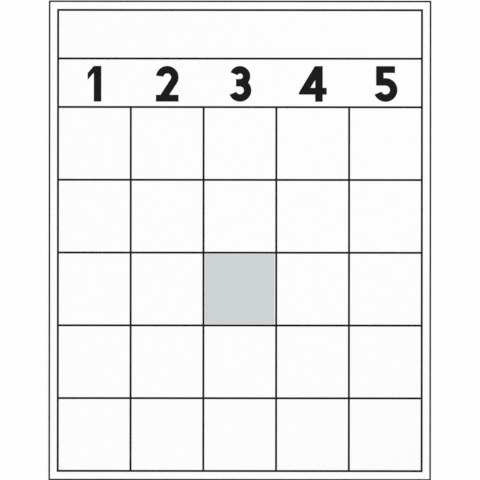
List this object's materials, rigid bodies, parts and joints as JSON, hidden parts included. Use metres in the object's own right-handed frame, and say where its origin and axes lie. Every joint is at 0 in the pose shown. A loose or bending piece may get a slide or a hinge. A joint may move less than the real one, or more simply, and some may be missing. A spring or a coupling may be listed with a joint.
{
  "type": "bingo card",
  "caption": "Flat rectangular game card of coated board, printed with a ruled grid of blank squares, a grey free square, numerals over the columns and an empty title box.",
  "frame": {"origin": "middle of the back face, on which the card lies", "axes": "+X right across the printed page, +Y up the page to the title box, +Z out of the printed face"},
  "size_m": [0.2004, 0.2514, 0.0004],
  "materials": {
    "fibre_board": "matte cut fibre",
    "white_coat": "smooth satin coat",
    "black_ink": "dried ink film, faint satin",
    "grey_ink": "dried ink film, faint satin"
  },
  "bodies": {
    "root": {"back_coat": "white_coat", "board_core": "fibre_board", "front_coat": "white_coat", "edge_line": "black_ink", "frame_rule": "black_ink", "title_rule": "black_ink", "head_rule": "black_ink", "column_rule_1": "black_ink", "column_rule_2": "black_ink", "column_rule_3": "black_ink", "column_rule_4": "black_ink", "row_rule_1": "black_ink", "row_rule_2": "black_ink", "row_rule_3": "black_ink", "row_rule_4": "black_ink", "column_head_1": "black_ink", "column_head_2": "black_ink", "column_head_3": "black_ink", "column_head_4": "black_ink", "column_head_5": "black_ink", "free_square_tint": "grey_ink"}
  },
  "joints": []
}
